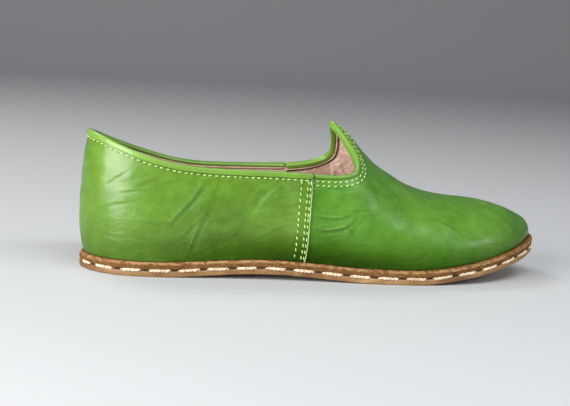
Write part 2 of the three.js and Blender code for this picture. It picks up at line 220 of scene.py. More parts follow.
def tubes(name, paths, radius):
    """Threads as one mesh. A path is a list of places, each with its share of the radius."""
    data = bpy.data.curves.new(name, "CURVE")
    data.dimensions = "3D"
    data.bevel_depth = radius
    data.bevel_resolution = TUBE_RESOLUTION
    data.use_fill_caps = True
    for path in paths:
        spline = data.splines.new("POLY")
        spline.points.add(len(path) - 1)
        for point, (place, swell) in zip(spline.points, path):
            point.co = (*place, 1.0)
            point.radius = swell
    shape = bpy.data.objects.new(name + "_curves", data)
    bpy.context.scene.collection.objects.link(shape)
    bpy.context.view_layer.update()
    mesh = bpy.data.meshes.new_from_object(
        shape.evaluated_get(bpy.context.evaluated_depsgraph_get()))
    bpy.data.objects.remove(shape)
    mesh.name = name
    made = bpy.data.objects.new(name, mesh)
    bpy.context.scene.collection.objects.link(made)
    return made


def ellipsoids(name, matrices, divisions):
    """One small round shape, placed by each matrix, as one mesh."""
    bm = bmesh.new()
    for matrix in matrices:
        bmesh.ops.create_icosphere(bm, subdivisions=divisions, radius=1.0, matrix=matrix)
    return to_object(bm, name)


def placed(place, ahead, outward, size):
    """A matrix with its own X along ahead, Z outward, and that size each way."""
    ahead = ahead.normalized()
    aside = outward.cross(ahead).normalized()
    outward = ahead.cross(aside)
    turn = Matrix((ahead, aside, outward)).transposed().to_4x4()
    return Matrix.Translation(place) @ turn @ Matrix.Diagonal((*size, 1.0))


# %% [markdown]
# ## Leather colours and grain
# The upper is a soft dyed skin with a low shine, and the sole leathers are undyed. Photographs of
# leather could cover them, but noise in Object coordinates has no seams and needs no picture. It
# lets the colour drift a little from place to place, and the pores and fine wrinkles are bump.

# %% Shader helpers
def shader(name, rough, coat=0.0):
    material = bpy.data.materials.new(name)
    material.use_nodes = True
    surface = material.node_tree.nodes["Principled BSDF"]
    surface.inputs["Roughness"].default_value = rough
    surface.inputs["Coat Weight"].default_value = coat
    return material, material.node_tree, surface


def add(tree, kind, **settings):
    made = tree.nodes.new(kind)
    for key, value in settings.items():
        setattr(made, key, value)
    return made


def noise(tree, scale, detail=3.0, roughness=0.5, distortion=0.0, stretch=None):
    source = add(tree, "ShaderNodeTexCoord").outputs["Object"]
    if stretch:
        mapping = add(tree, "ShaderNodeMapping")
        mapping.inputs["Scale"].default_value = stretch
        tree.links.new(source, mapping.inputs["Vector"])
        source = mapping.outputs["Vector"]
    made = add(tree, "ShaderNodeTexNoise")
    made.inputs["Scale"].default_value = scale
    made.inputs["Detail"].default_value = detail
    made.inputs["Roughness"].default_value = roughness
    made.inputs["Distortion"].default_value = distortion
    tree.links.new(source, made.inputs["Vector"])
    return made.outputs["Fac"]


def ramp(tree, value, *stops):
    made = add(tree, "ShaderNodeValToRGB")
    made.color_ramp.interpolation = "EASE"
    while len(made.color_ramp.elements) < len(stops):
        made.color_ramp.elements.new(0.5)
    for element, (place, colour) in zip(made.color_ramp.elements, stops):
        element.position = place
        element.color = (*colour, 1.0)
    tree.links.new(value, made.inputs["Fac"])
    return made.outputs["Color"]


def blend(tree, share, under, over):
    """The under colour, turned into the plain over colour by a share from a socket."""
    made = add(tree, "ShaderNodeMix", data_type="RGBA")
    tree.links.new(share, made.inputs["Factor"])
    tree.links.new(under, made.inputs["A"])
    made.inputs["B"].default_value = (*over, 1.0)
    return made.outputs["Result"]


def product(tree, first, second):
    made = add(tree, "ShaderNodeMath", operation="MULTIPLY")
    tree.links.new(first, made.inputs[0])
    tree.links.new(second, made.inputs[1])
    return made.outputs["Value"]


def attribute(tree, name):
    return add(tree, "ShaderNodeAttribute", attribute_name=name).outputs["Fac"]


def map_range(tree, value, given, wanted):
    """The value with its given range turned into the wanted one, softly at both ends."""
    made = add(tree, "ShaderNodeMapRange", interpolation_type="SMOOTHSTEP")
    for socket, number in zip(("From Min", "From Max", "To Min", "To Max"), (*given, *wanted)):
        made.inputs[socket].default_value = number
    tree.links.new(value, made.inputs["Value"])
    return made.outputs["Result"]


def bump(tree, height, strength, distance, under=None):
    made = add(tree, "ShaderNodeBump")
    made.inputs["Strength"].default_value = strength
    made.inputs["Distance"].default_value = distance
    tree.links.new(height, made.inputs["Height"])
    if under is not None:
        tree.links.new(under, made.inputs["Normal"])
    return made.outputs["Normal"]


# %% Leather in general
def leather(
        name, stops, rough, grain=900.0, grain_depth=0.12 * MM, drift=14.0, coat=0.0,
        wrinkle=0.5 * MM):
    material, tree, surface = shader(name, rough, coat)
    colour = ramp(tree, noise(tree, drift, detail=4.0, roughness=0.55), *stops)
    tree.links.new(colour, surface.inputs["Base Color"])
    pores = bump(tree, noise(tree, grain, detail=2.0, roughness=0.6), 0.5, grain_depth)
    drawn = noise(tree, 90.0, detail=5.0, roughness=0.6, distortion=0.8)
    wrinkles = bump(tree, drawn, 0.4, wrinkle, pores)
    tree.links.new(wrinkles, surface.inputs["Normal"])
    return material


# %% [markdown]
# ## The upper's dyed leather
# Painted shade makes the leather darker in its folds and near the sole, where it is also dull, and the
# ridges are paler, partly from worn dye and partly as a painted highlight. A mask image could say
# where. Here the mesh says it: attributes hold how far each point is from the sole and how deep its
# fold is, so the painted shade and the wear follow the shape.

# %% The upper's dyed leather
FLECKS = (0.17, 0.36, 0.05)
LOW_PAINTED_SHADE = (0.012, 0.036, 0.001)
CREASE_SHADE = (0.03, 0.1, 0.006)
RIDGE_WEAR_AND_HIGHLIGHT = (0.3, 0.5, 0.14)
SHADE_HEIGHT = 24.0  # millimetres above the sole that the painted shade reaches


def upper_leather(name, stops, coat):
    """Soft skin: painted shade in the creases and near the sole, paler ridges, drawn wrinkles in
    patches.
    """
    material, tree, surface = shader(name, 0.42, coat)
    surface.inputs["Coat Roughness"].default_value = 0.3
    dye_and_shade = ramp(tree, noise(tree, 16.0, detail=5.0, roughness=0.55, distortion=0.4), *stops)
    fine = noise(tree, 150.0, detail=4.0, roughness=0.6)
    dye_and_shade = blend(tree, map_range(tree, fine, (0.35, 0.7), (0.0, 0.2)), dye_and_shade, FLECKS)
    # Painted shade just above the sole, strongest at the waist where the wall turns under; coat and
    # sheen are turned down there too.
    low = map_range(tree, attribute(tree, "foot_mm"), (0.0, SHADE_HEIGHT), (1.0, 0.0))
    low = product(tree, low, attribute(tree, "waist"))
    dye_and_shade = blend(tree, low, dye_and_shade, LOW_PAINTED_SHADE)
    gloss = map_range(tree, low, (0.0, 0.8), (coat, 0.0))
    tree.links.new(gloss, surface.inputs["Coat Weight"])
    shine = map_range(tree, low, (0.0, 0.8), (0.2, 0.05))
    tree.links.new(shine, surface.inputs["Specular IOR Level"])
    # Painted shade in the troughs of the creases.
    trough = map_range(tree, attribute(tree, "fold_mm"), (-0.9, 0.0), (0.7, 0.0))
    dye_and_shade = blend(tree, trough, dye_and_shade, CREASE_SHADE)
    # Paler ridges: partly worn dye, partly a painted highlight.
    ridge_wear_and_highlight = map_range(tree, attribute(tree, "fold_mm"), (0.05, 0.7), (0.0, 0.45))
    dye_and_shade = blend(tree, ridge_wear_and_highlight, dye_and_shade, RIDGE_WEAR_AND_HIGHLIGHT)
    tree.links.new(dye_and_shade, surface.inputs["Base Color"])
    dull = map_range(tree, noise(tree, 45.0, roughness=0.6), (0.3, 0.7), (0.34, 0.54))
    tree.links.new(dull, surface.inputs["Roughness"])
    pores = bump(tree, noise(tree, 1100.0, detail=2.0, roughness=0.6), 0.45, 0.12 * MM)
    drawn = noise(tree, 70.0, detail=4.0, roughness=0.55, distortion=1.2, stretch=(0.55, 0.55, 1.5))
    wrinkles = bump(tree, drawn, 0.5, 2.8 * MM, pores)
    tree.links.new(wrinkles, surface.inputs["Normal"])
    return material


# %% [markdown]
# ## The rand's rough leather
# The edge shows the flesh side of thick leather: fibres drawn along it, and a paler torn corner
# at the top. The attribute turned_up marks that corner, and stretched noise makes the fibres.

# %% The rand's rough leather
TORN = (0.46, 0.28, 0.12)


def rough_edge():
    """The flesh side of thick leather: fibres along the edge, and a paler torn upper corner."""
    material, tree, surface = shader("rand_leather", 0.9)
    surface.inputs["Specular IOR Level"].default_value = 0.1
    fibres = noise(
        tree, 420.0, detail=5.0, roughness=0.7, distortion=0.3, stretch=(0.75, 0.75, 1.7))
    colour = ramp(
        tree, fibres, (0.32, (0.08, 0.032, 0.01)), (0.5, (0.155, 0.07, 0.022)),
        (0.7, (0.27, 0.138, 0.05)))
    patches = map_range(tree, noise(tree, 340.0), (0.38, 0.6), (0.1, 0.85))
    torn = product(tree, attribute(tree, "turned_up"), patches)
    colour = blend(tree, torn, colour, TORN)
    tree.links.new(colour, surface.inputs["Base Color"])
    nap = bump(tree, noise(tree, 2400.0, detail=2.0, roughness=0.7), 0.6, 0.4 * MM)
    tree.links.new(bump(tree, fibres, 0.7, 1.2 * MM, nap), surface.inputs["Normal"])
    return material


# %% [markdown]
# ## Finishes
# Each piece of leather and thread gets its own range of colours, from its dark patches to its light
# ones, as shares of red, green and blue. They were chosen beside the photo.

# %% Materials of the upper
vamp_green = upper_leather(
    "vamp_green",
    [(0.3, (0.03, 0.118, 0.003)), (0.5, (0.053, 0.168, 0.005)), (0.72, (0.088, 0.22, 0.013))],
    0.42)
quarter_green = upper_leather(
    "quarter_green",
    [(0.3, (0.049, 0.12, 0.003)), (0.5, (0.076, 0.17, 0.005)), (0.72, (0.112, 0.22, 0.013))],
    0.64)
band_green = leather(
    "band_leather",
    [(0.3, (0.09, 0.195, 0.014)), (0.55, (0.14, 0.275, 0.026)), (0.75, (0.19, 0.34, 0.045))],
    0.4, coat=0.3)
lining = leather(
    "lining_leather",
    [(0.3, (0.46, 0.29, 0.21)), (0.5, (0.64, 0.46, 0.37)), (0.7, (0.8, 0.68, 0.59))],
    0.5, drift=30.0, wrinkle=9 * MM)
turned_tan = leather(
    "turned_tan",
    [(0.3, (0.52, 0.38, 0.2)), (0.7, (0.72, 0.58, 0.36))],
    0.6, drift=150.0)
cut_edge = leather(
    "cut_edge",
    [(0.3, (0.2, 0.34, 0.08)), (0.7, (0.42, 0.55, 0.2))],
    0.8, drift=200.0)
# Painted shadow: the dark brown under the lining's turned edge.
painted_shadow_brown = leather(
    "painted_shadow_brown",
    [(0.3, (0.05, 0.02, 0.012)), (0.7, (0.13, 0.06, 0.04))],
    0.8, drift=120.0)

# %% Materials of the sole, and of threads and holes
sole_tan = leather(
    "sole_leather",
    [(0.3, (0.13, 0.056, 0.017)), (0.5, (0.235, 0.118, 0.039)), (0.75, (0.4, 0.23, 0.092))],
    0.5, grain=1500.0, grain_depth=0.2 * MM, drift=60.0)
rand_brown = rough_edge()
fibre_tan = leather(
    "fibre_tan",
    [(0.3, (0.22, 0.12, 0.04)), (0.7, (0.5, 0.33, 0.14))],
    0.8, drift=300.0)
cream = leather(
    "cream_thread",
    [(0.3, (0.5, 0.37, 0.23)), (0.7, (0.78, 0.64, 0.47))],
    0.75, grain=3000.0, grain_depth=0.2 * MM, drift=400.0)
pale_green = leather(
    "pale_thread",
    [(0.3, (0.3, 0.44, 0.1)), (0.7, (0.49, 0.64, 0.23))],
    0.7, grain=4000.0, grain_depth=0.1 * MM, drift=500.0)
# Painted shade: the dark ellipsoids that stand for the slits the sole thread sinks into.
dark_hole_shade = leather(
    "needle_hole",
    [(0.3, (0.01, 0.006, 0.003)), (0.7, (0.024, 0.015, 0.007))],
    0.95, drift=700.0)
# Painted shade: the flat dark ellipsoids that stand for the needle holes.
green_hole_shade = leather(
    "green_hole_shade",
    [(0.3, (0.022, 0.06, 0.004)), (0.7, (0.04, 0.09, 0.008))],
    0.9, drift=900.0)
print("materials:", len(bpy.data.materials))

# %% [markdown]
# ## The upper
# On the real shoe the vamp and the quarter are cut from one green skin each, lasted wet over the
# last and overlapped at the sides. The copy keeps the CAD wall. The two columns of edges at each
# seam are creased, so that the quarter's front edge stays a crisp step after the subdivision.
# Which leather a face shows is told on the coarse copy, where every face lies on one side.

# %% Upper: a leather for every face
SEAM_FRONT = (-17.0 * MM, -12.5 * MM)
SEAM_MIDDLE = -14.6 * MM
AXIS_END = 105 * MM
AXIS_HEIGHT = 36 * MM
AXIS_DROP = 18 * MM
wall = clean_copy("upper")


def inside_axis(place):
    """A point within the shoe at about the same station, to tell the inside faces by."""
    x = min(max(place.x, -AXIS_END), AXIS_END)
    return Vector((x, 2 * MM, AXIS_HEIGHT - AXIS_DROP * max(0.0, x) / AXIS_END))


def within_seam(verts):
    return all(SEAM_FRONT[0] < vert.co.x < SEAM_FRONT[1] for vert in verts)


VAMP, LINING, QUARTER, CUT = range(4)
FACES_FORWARD = 0.5
for face in wall.faces:
    middle = face.calc_center_median()
    if face.normal.dot(inside_axis(middle) - middle) > 0:
        face.material_index = LINING
    elif within_seam(face.verts) and face.normal.x > FACES_FORWARD:
        face.material_index = CUT
    else:
        face.material_index = QUARTER if middle.x < SEAM_MIDDLE else VAMP
for name, index in (("vamp", VAMP), ("lining", LINING), ("quarter", QUARTER), ("cut edge", CUT)):
    print(name, sum(face.material_index == index for face in wall.faces), "faces")

# %% Upper: lines of its rims and seams
SHARP_ANGLE = 55
STEEP = 0.7
RIM_ABOVE = 45 * MM
RIM_BELOW = 32 * MM
SIDE_FROM = 20 * MM
sharp = [e for e in wall.edges if e.calc_face_angle(0.0) > math.radians(SHARP_ANGLE)]


def steep(edge):
    along = edge.verts[1].co - edge.verts[0].co
    return abs(along.z) > STEEP * along.length


def seam_step(edge):
    return within_seam(edge.verts) and steep(edge)


rims = {
    "top": [e for e in sharp if e.verts[0].co.z > RIM_ABOVE and not seam_step(e)],
    "foot": [e for e in sharp if e.verts[0].co.z < RIM_BELOW and not steep(e)],
}
rim_lines = {}
for name, edges in rims.items():
    loops = sorted(chains(edges), key=lambda run: -np.ptp(run[:, 1]))[:2]
    for place, loop in zip(("outside", "inside"), loops):  # the outside's loop is the wider one
        loop = anticlockwise(loop)
        rim_lines[name, place] = loop
        print(name, place, "loop of", len(loop), "points, from x", round(loop[0, 0] / MM, 1))
top_line = resample(rim_lines["top", "outside"], LINE_STEP, True, 4)
foot_line = resample(rim_lines["foot", "outside"], LINE_STEP, True, 4)
seam_lines = {}
for side in (OUTER, INNER):
    steps = [e for e in sharp if seam_step(e) and e.verts[0].co.y * side > SIDE_FROM]
    runs = sorted(chains(steps), key=len)[-2:]
    front = min(runs, key=lambda run: run[:, 0].mean())
    seam_lines[side] = front if front[0, 2] < front[-1, 2] else front[::-1]
    print("seam", side, len(front), "points, x", (front[[0, -1], 0] / MM).round(1))

# %% Upper: subdivided
crease_edges(wall, SHARP_ANGLE, 1.0)
triangles = sum(len(face.verts) == 3 for face in wall.faces)
print("upper: quads", len(wall.faces) - triangles, "triangles left", triangles)
upper = subdivided(wall, "upper_leather", 2)

# %% [markdown]
# ## Creases and dents
# Soft leather folds where the shoe has been handled. The folds could be a bump texture, but they catch
# the light and show on the meshes, so they are pressed into the wall. Each is given as a line in
# millimetres seen from the side (x, z), with its depth and half width. It is a soft trough with a
# lower ridge beside it, and fades out towards both ends.

# %% Where the creases run
CREASES = [
    # side, depth, half width, which side of the line the ridge is on, then the line
    (OUTER, 0.55, 2.9, -1, [
        (-67.5, 56.5), (-72.1, 51.9), (-78.8, 42.7), (-83.4, 37.3), (-88.1, 32.2), (-92.5, 25.1)]),
    (OUTER, 0.38, 2.4, -1, [(-73.0, 33.8), (-75.6, 31.4), (-79.7, 26.9), (-84.7, 20.9)]),
    (OUTER, 0.58, 2.6, -1, [(-70.5, 36.5), (-73.6, 30.3), (-75.5, 25.5), (-77.7, 18.2), (-80.9, 9.4)]),
    (OUTER, 0.42, 2.8, 1, [
        (-27.5, 56.0), (-32.8, 52.3), (-37.6, 48.4), (-42.4, 43.0), (-46.4, 35.6), (-48.0, 31.0)]),
    (OUTER, 0.3, 2.3, 1, [(-37.3, 54.5), (-43.8, 50.7), (-47.0, 46.9), (-49.4, 40.9), (-50.5, 36.0)]),
    (OUTER, 0.22, 3.2, -1, [(-61.4, 57.8), (-66.0, 49.4), (-69.5, 40.9)]),
    (OUTER, 0.3, 2.4, 1, [(-69.9, 37.5), (-68.2, 33.3), (-66.8, 29.5), (-65.7, 23.1)]),
    (OUTER, 0.3, 2.4, 1, [(-62.2, 20.0), (-56.0, 23.8), (-51.4, 28.4)]),
    (OUTER, 0.3, 2.2, 1, [(-41.7, 23.4), (-38.6, 24.9), (-33.4, 27.9), (-26.5, 30.8)]),
    (OUTER, 0.2, 2.2, 1, [(-30.0, 42.0), (-25.0, 41.0), (-20.5, 42.5)]),
    (OUTER, 0.18, 1.9, 1, [(-125.3, 47.3), (-119.9, 52.0), (-113.0, 57.0)]),
    (OUTER, 0.3, 2.6, 1, [(-109.2, 47.8), (-102.0, 52.2), (-91.6, 55.7)]),
    (OUTER, 0.16, 1.9, 1, [(-126.3, 35.9), (-119.5, 38.8), (-108.5, 40.7)]),
    (OUTER, 0.2, 2.4, 1, [(-128.5, 22.6), (-121.2, 21.2), (-112.7, 20.9)]),
    (OUTER, 0.2, 2.4, -1, [(-113.1, 21.1), (-105.9, 19.4), (-96.0, 19.3)]),
    (OUTER, 0.25, 2.4, 1, [(-106.9, 29.9), (-96.9, 29.0), (-87.0, 30.4)]),
    (OUTER, 0.2, 2.0, 1, [(-118.0, 44.5), (-109.0, 46.5), (-101.0, 47.0)]),
    (OUTER, 0.2, 2.0, 1, [(-121.0, 60.0), (-115.0, 62.5), (-110.0, 63.0)]),
    (OUTER, 0.5, 2.2, 1, [(-12.0, 36.2), (-6.8, 35.6), (-0.9, 35.3), (4.5, 36.0), (8.9, 37.8)]),
    (OUTER, 0.6, 2.4, 1, [
        (-12.0, 28.8), (-6.1, 28.2), (-0.2, 29.0), (4.9, 30.6), (8.8, 33.5), (12.3, 38.4)]),
    (OUTER, 0.3, 2.2, 1, [(-11.0, 24.0), (-5.0, 24.5), (1.5, 26.5)]),
    (OUTER, 0.3, 2.2, -1, [(4.5, 33.0), (7.8, 29.0), (9.5, 24.0)]),
    (OUTER, 0.2, 2.0, 1, [(20.6, 49.0), (22.8, 44.9), (22.6, 41.0), (20.4, 36.8)]),
    (OUTER, 0.2, 2.0, 1, [(34.5, 48.7), (36.8, 43.6), (36.6, 40.0), (34.9, 36.6)]),
    (OUTER, 0.3, 2.8, 1, [(4.0, 20.5), (6.6, 26.1), (10.2, 32.0), (15.0, 36.5)]),
    (OUTER, 0.25, 2.6, -1, [(51.5, 35.2), (58.5, 35.0), (65.1, 33.2), (74.8, 28.3)]),
    (OUTER, 0.2, 2.8, 1, [(62.6, 43.4), (75.5, 42.3), (87.9, 40.6)]),
    (OUTER, 0.2, 3.0, 1, [(14.0, 56.0), (22.0, 54.0), (30.0, 50.0)]),
    (INNER, 0.85, 4.2, -1, [(-64.0, 50.0), (-70.0, 44.0), (-76.0, 36.5), (-80.0, 27.0)]),
    (INNER, 0.7, 3.4, -1, [(-84.0, 39.0), (-90.0, 30.0), (-93.5, 19.0)]),
    (INNER, 0.5, 3.2, 1, [(-36.0, 50.0), (-41.5, 44.0), (-46.0, 35.0)]),
    (INNER, 0.3, 2.6, 1, [(-100.0, 50.0), (-108.0, 46.5), (-117.0, 43.0)]),
    (INNER, 0.25, 2.4, 1, [(-99.0, 33.0), (-108.0, 32.0), (-117.0, 33.5)]),
    (INNER, 0.3, 2.4, 1, [(-58.0, 22.0), (-50.0, 25.0), (-43.0, 30.0)]),
    (INNER, 0.5, 2.4, 1, [(-12.0, 40.0), (-4.0, 38.5), (4.0, 40.0), (10.0, 43.5)]),
    (INNER, 0.5, 2.6, 1, [(-12.0, 30.0), (-2.0, 29.0), (7.0, 32.0), (12.0, 37.5)]),
    (INNER, 0.25, 2.2, 1, [(28.0, 48.0), (31.0, 42.0), (30.0, 35.0)]),
    (INNER, 0.2, 2.8, -1, [(55.0, 36.0), (66.0, 34.0), (77.0, 29.0)]),
    (INNER, 0.75, 2.0, -1, [(12.5, 62.5), (14.9, 56.4), (16.2, 52.0), (17.5, 46.0)]),
    (INNER, 0.75, 2.2, 1, [(17.5, 62.0), (20.0, 56.7), (22.4, 53.5), (26.0, 49.0)]),
    (INNER, 0.6, 2.2, 1, [(10.7, 75.0), (14.1, 69.3), (15.2, 65.4), (14.0, 59.0)]),
]
print(len(CREASES), "creases")

# %% How a crease is shaped
CREASE_STEP = 0.5  # millimetres between the points of a line
SMOOTHINGS = 12
TROUGH = (-0.3, 0.5, 1.0)  # place across the line, width and share of the depth
RIDGE = (0.38, 0.34, 0.75)
CREASE_REACH = 3  # half widths beyond a line's box where it still has an effect
SIDE_ONLY = 4  # millimetres from the middle, where a crease of one side begins
END_POWER = 0.5  # the lower it is, the longer a crease keeps its depth
END_CLIP = (0.02, 0.98)
FINE_REACH = 1.5  # half widths on either side of a line that get a finer mesh
SPARSE = 3  # every third point of a line is enough to find the faces near it
DENTS = [(0.9, 24.0), (0.35, 9.0)]  # millimetres: how deep and how far across the soft dents are
DENT_FADE = 14.0  # millimetres from the rims over which the dents come up
EDGE_FADE = (4.5, 10.0)  # millimetres from the top edge over which a crease comes up
FOOT_FADE = (0.5, 4.0)
SHADE_STRENGTH = (0.35, 1.0)  # how strong the painted shade just above the sole is, at the ends and at the waist
WAIST = (-5.0, 75.0)  # millimetres: where the waist is, and how far its stronger painted shade reaches


def crease_samples(line):
    """Points every half millimetre along a line, with the direction there."""
    points = np.array(line)
    lengths = np.hypot(*np.diff(points, axis=0).T)
    at = np.concatenate([[0], np.cumsum(lengths)])
    wanted = np.linspace(0, at[-1], max(4, int(at[-1] / CREASE_STEP)))
    places = np.stack([np.interp(wanted, at, points[:, i]) for i in (0, 1)], 1)
    smooth = places.copy()
    for _ in range(SMOOTHINGS):
        smooth[1:-1] = (smooth[:-2] + smooth[1:-1] + smooth[2:]) / 3
    directions = np.gradient(smooth, axis=0)
    return smooth, directions / np.linalg.norm(directions, axis=1)[:, None]


def hump(across, at, width, share):
    """A smooth rise to share at one place, down to almost nothing two widths away."""
    return np.exp(-(((across - at) / width) ** 2)) * share


def fade_in(values, low, high):
    return np.clip((values - low) / (high - low), 0, 1)


def crease_shift(place, side, depth, half, ridge_side, line):
    """Which places one crease moves, and how far outwards, in millimetres."""
    samples, directions = crease_samples(line)
    low = samples.min(0) - CREASE_REACH * half
    high = samples.max(0) + CREASE_REACH * half
    flat = place[:, [0, 2]]
    near = np.flatnonzero(
        (place[:, 1] * side > SIDE_ONLY) & (flat > low).all(1) & (flat < high).all(1))
    offsets = flat[near][:, None] - samples[None]
    nearest = np.linalg.norm(offsets, axis=2).argmin(1)
    offset = offsets[np.arange(len(near)), nearest]
    direction = directions[nearest]
    across = (direction[:, 0] * offset[:, 1] - direction[:, 1] * offset[:, 0]) / half
    across *= ridge_side
    beyond = (direction * offset).sum(1) / half
    along = nearest / (len(samples) - 1)
    fade = np.sin(math.pi * np.clip(along, *END_CLIP)) ** END_POWER * np.exp(-(beyond ** 2))
    return near, depth * fade * (hump(across, *RIDGE) - hump(across, *TROUGH))


# %% Pressing the creases and dents into the wall
def vectors(mesh, name):
    values = np.zeros(len(mesh.vertices) * 3)
    mesh.vertices.foreach_get(name, values)
    return values.reshape(-1, 3)


def press_creases(mesh):
    """Moves both faces of the wall square to it, and returns the deepest move in millimetres."""
    place = vectors(mesh, "co") / MM
    normal = vectors(mesh, "normal")
    inward = np.array([tuple(inside_axis(Vector(p) * MM)) for p in place]) / MM - place
    normal *= np.where((normal * inward).sum(1) > 0, -1.0, 1.0)[:, None]
    shift = np.zeros(len(place))
    for crease in CREASES:
        near, amount = crease_shift(place, *crease)
        shift[near] += amount
    edge, foot = (distances(line, place * MM) / MM for line in (top_line, foot_line))
    shift *= fade_in(edge, *EDGE_FADE)
    shift *= fade_in(foot, *FOOT_FADE)
    rim_fade = fade_in(edge, 0, DENT_FADE) * fade_in(foot, 0, DENT_FADE)
    dents = [sum(deep * noise_at(Vector(p) / across) for deep, across in DENTS) for p in place]
    move = shift + rim_fade * np.array(dents)
    place += normal * move[:, None]
    mesh.vertices.foreach_set("co", (place * MM).ravel())
    # The waist attribute holds how strong the painted shade above the sole is; fold_mm drives the
    # painted shade in the crease troughs.
    waist = SHADE_STRENGTH[0] + hump(place[:, 0], *WAIST, SHADE_STRENGTH[1] - SHADE_STRENGTH[0])
    for name, values in (("fold_mm", shift), ("foot_mm", foot), ("waist", waist)):
        mesh.attributes.new(name, "FLOAT", "POINT").data.foreach_set("value", values)
    mesh.update()
    return np.abs(shift).max()


def refine_near_creases(mesh):
    """Cuts the outside's faces in four where a crease will run."""
    bm = bmesh.new()
    bm.from_mesh(mesh)
    middles = np.array([tuple(face.calc_center_median()) for face in bm.faces]) / MM
    outside_face = np.array([face.material_index != LINING for face in bm.faces])
    chosen = np.zeros(len(middles), bool)
    for side, _, half, _, line in CREASES:
        samples = crease_samples(line)[0][::SPARSE]
        near = np.flatnonzero(outside_face & (middles[:, 1] * side > SIDE_ONLY))
        offset = middles[near][:, None, [0, 2]] - samples[None]
        chosen[near] |= np.linalg.norm(offset, axis=2).min(1) < FINE_REACH * half
    bm.faces.ensure_lookup_table()
    edges = dict.fromkeys(edge for i in np.flatnonzero(chosen) for edge in bm.faces[i].edges)
    bmesh.ops.subdivide_edges(bm, edges=list(edges), cuts=1, use_grid_fill=True)
    bm.to_mesh(mesh)
    bm.free()


# %% Upper: finished
refine_near_creases(upper.data)
print("deepest crease mm:", round(press_creases(upper.data), 2))
dress(upper, "upper_leather", vamp_green, lining, quarter_green, cut_edge, replaces=["upper"])

# %% [markdown]
# ## Bindings
# Each binding is a strip of the green leather, folded over the raw top edge and sewn down. The
# CAD strip already has the fold. It needs only a subdivision that keeps its cut ends and long
# edges firm, so nothing new is shaped here.

# %% Bindings
BINDING_ANGLE = 50
BINDING_CREASE = 0.8
for name in ("quarter_binding", "throat_binding"):
    strip = clean_copy(name)
    crease_edges(strip, BINDING_ANGLE, BINDING_CREASE)
    dress(subdivided(strip, name + "_leather", 2), "binding_leather", band_green, replaces=[name])

# %% [markdown]
# ## Insole, outsole and rand
# The sole is two thick layers with a thin sock of lining leather on top. The rand's flesh side is
# turned out, and its edge is torn rather than cut. Bump alone would leave its outline smooth, so
# noise moves the surface itself, most of all at the upper corner.

# %% Shaping the layers' edges
UP = Vector((0, 0, 1))
CAP_LEVEL = 0.85
CAP_AREA = 30 * MM * MM
ROUGH = [(0.22 * MM, 260.0), (0.12 * MM, 900.0)]  # how deep, and bumps per metre
RAGGED = 0.5 * MM
RAGS = 170.0  # per metre
CORNER_TILT = 0.55  # height of the normal where the corner is most ragged
CORNER_RANGE = 0.45


def cap_face(face):
    """Whether a face is one of the large level ones on a layer's upper side."""
    return face.normal.z > CAP_LEVEL and face.calc_area() > CAP_AREA


def cap_ring(bm):
    """The ring of edges round a layer's flat upper side, as a closed line."""
    shared = [e for e in bm.edges if len(e.link_faces) == 2]
    ring = [e for e in shared if cap_face(e.link_faces[0]) != cap_face(e.link_faces[1])]
    return max(chains(ring), key=len)


def roughen(mesh):
    """Gives the rand its torn, suede-like edge, and marks how near each point is to the corner."""
    places = [vertex.co.copy() for vertex in mesh.vertices]
    normals = [vertex.normal.copy() for vertex in mesh.vertices]
    turned_up, moved = [], []
    for place, normal in zip(places, normals):
        depth = sum(deep * noise_at(place * count) for deep, count in ROUGH)
        slope = max(0.0, 1.0 - abs(normal.z - CORNER_TILT) / CORNER_RANGE)
        ragged = UP * (RAGGED * slope * noise_at(place * RAGS))
        moved.extend(place + normal * depth + ragged)
        turned_up.append(slope)
    mesh.vertices.foreach_set("co", moved)
    mesh.attributes.new("turned_up", "FLOAT", "POINT").data.foreach_set("value", turned_up)
    mesh.update()


# %% Insole, outsole and rand
LAYER_ANGLE = 30
LAYER_CREASE = 0.75
sole_rings = {}
for name, slot, material, levels in (
        ("insole", "insole_leather", lining, 2),
        ("outsole", "sole_leather", sole_tan, 2),
        ("rand", "rand_leather", rand_brown, 3)):
    layer = clean_copy(name)
    crease_edges(layer, LAYER_ANGLE, LAYER_CREASE)
    if name != "insole":
        sole_rings[name] = cap_ring(layer)
    done = subdivided(layer, name + "_leather", levels)
    if name == "rand":
        roughen(done.data)
        rand_tree = surface_tree(done.data, {0})
    dress(done, slot, material, replaces=[name])
print("sole ring of", len(sole_rings["outsole"]), "points")

# %% [markdown]
# ## The quarter's cut edge
# The front edge of the quarter is left raw, so the pale core of the leather shows as a thin line
# down each seam. A colour on the step alone would be too narrow after the subdivision, so a thin
# bead is laid along it. It gets thinner towards the binding that covers its upper end.

# %% Bead along the cut edge
CUT_BEAD = 0.34 * MM
CUT_TOP = 58 * MM
CUT_FADE = 12 * MM
beads = []
for side in (OUTER, INNER):
    low = resample(seam_lines[side], MM)
    low = low[low[:, 2] < CUT_TOP]
    beads.append([(Vector(p), min(1.0, (CUT_TOP + MM - p[2]) / CUT_FADE)) for p in low])
dress(tubes("quarter_cut_edge", beads, CUT_BEAD), "upper_leather", cut_edge)

# %% [markdown]
# ## Stitches on the upper
# The quarter has one row under its binding. The throat has two, and so has the front edge of the
# quarter, with a third further back. Every stitch is a short thick thread that dips into a needle
# hole at each end, so one path with five points describes it, and a row repeats it at even steps.

# %% One row of top stitching
STITCH_PITCH = 3.3 * MM
STITCH_LENGTH = 1.9 * MM
LENGTH_SHARE = (0.93, 1.05)
SLANT = 0.22
SLANT_SHIFT = (-0.05, 0.05)
THREAD = 0.36 * MM
STITCH_SHAPE = [  # place along the stitch, lift and thickness in shares of the thread
    (-0.5, -0.9, 0.6), (-0.32, 0.5, 1.0), (0.0, 0.75, 1.1), (0.32, 0.5, 1.0), (0.5, -0.9, 0.6)]
# Each needle hole is a flat dark ellipsoid on the leather, painted shade in the hole.
HOLE_SIZE = (0.42 * MM, 0.3 * MM, 0.1 * MM)
HOLE_LIFT = 0.05 * MM


